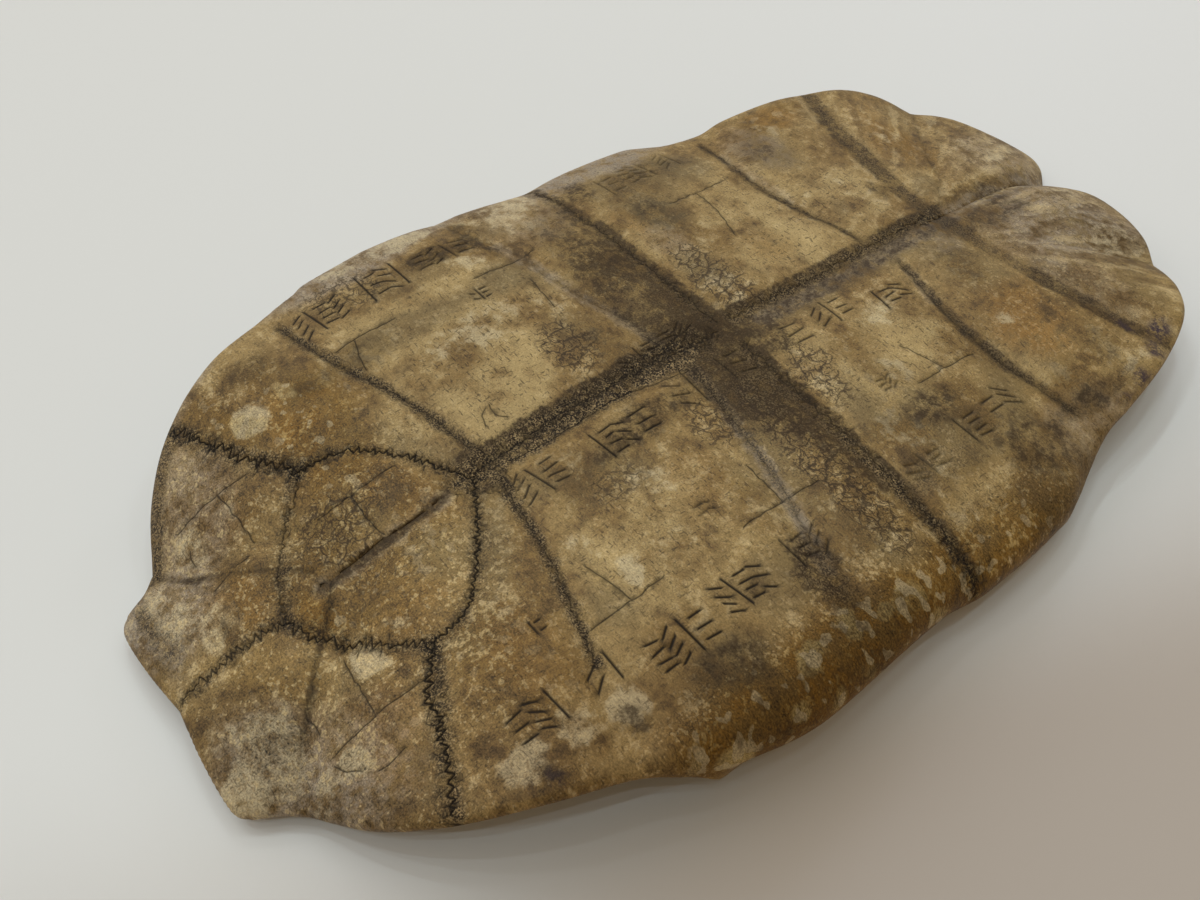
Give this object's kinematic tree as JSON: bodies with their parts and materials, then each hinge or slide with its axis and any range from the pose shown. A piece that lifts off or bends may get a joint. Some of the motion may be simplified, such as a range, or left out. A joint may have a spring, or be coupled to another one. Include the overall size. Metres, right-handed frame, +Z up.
{
  "type": "turtle plastron oracle bone",
  "caption": "Worked turtle plastron, a thin arched plate of polished bone with sutures, furrows, cracks and rows of shallow marks, lying outer face up.",
  "frame": {"origin": "on the table, under the middle of the piece's box", "axes": "+Y along the midline towards the head end, +Z up out of the outer face, x = 0 is the mirror plane"},
  "size_m": [0.1234, 0.2064, 0.0201],
  "materials": {
    "bone": "satin"
  },
  "bodies": {
    "root": {"plastron": "bone"}
  },
  "joints": []
}
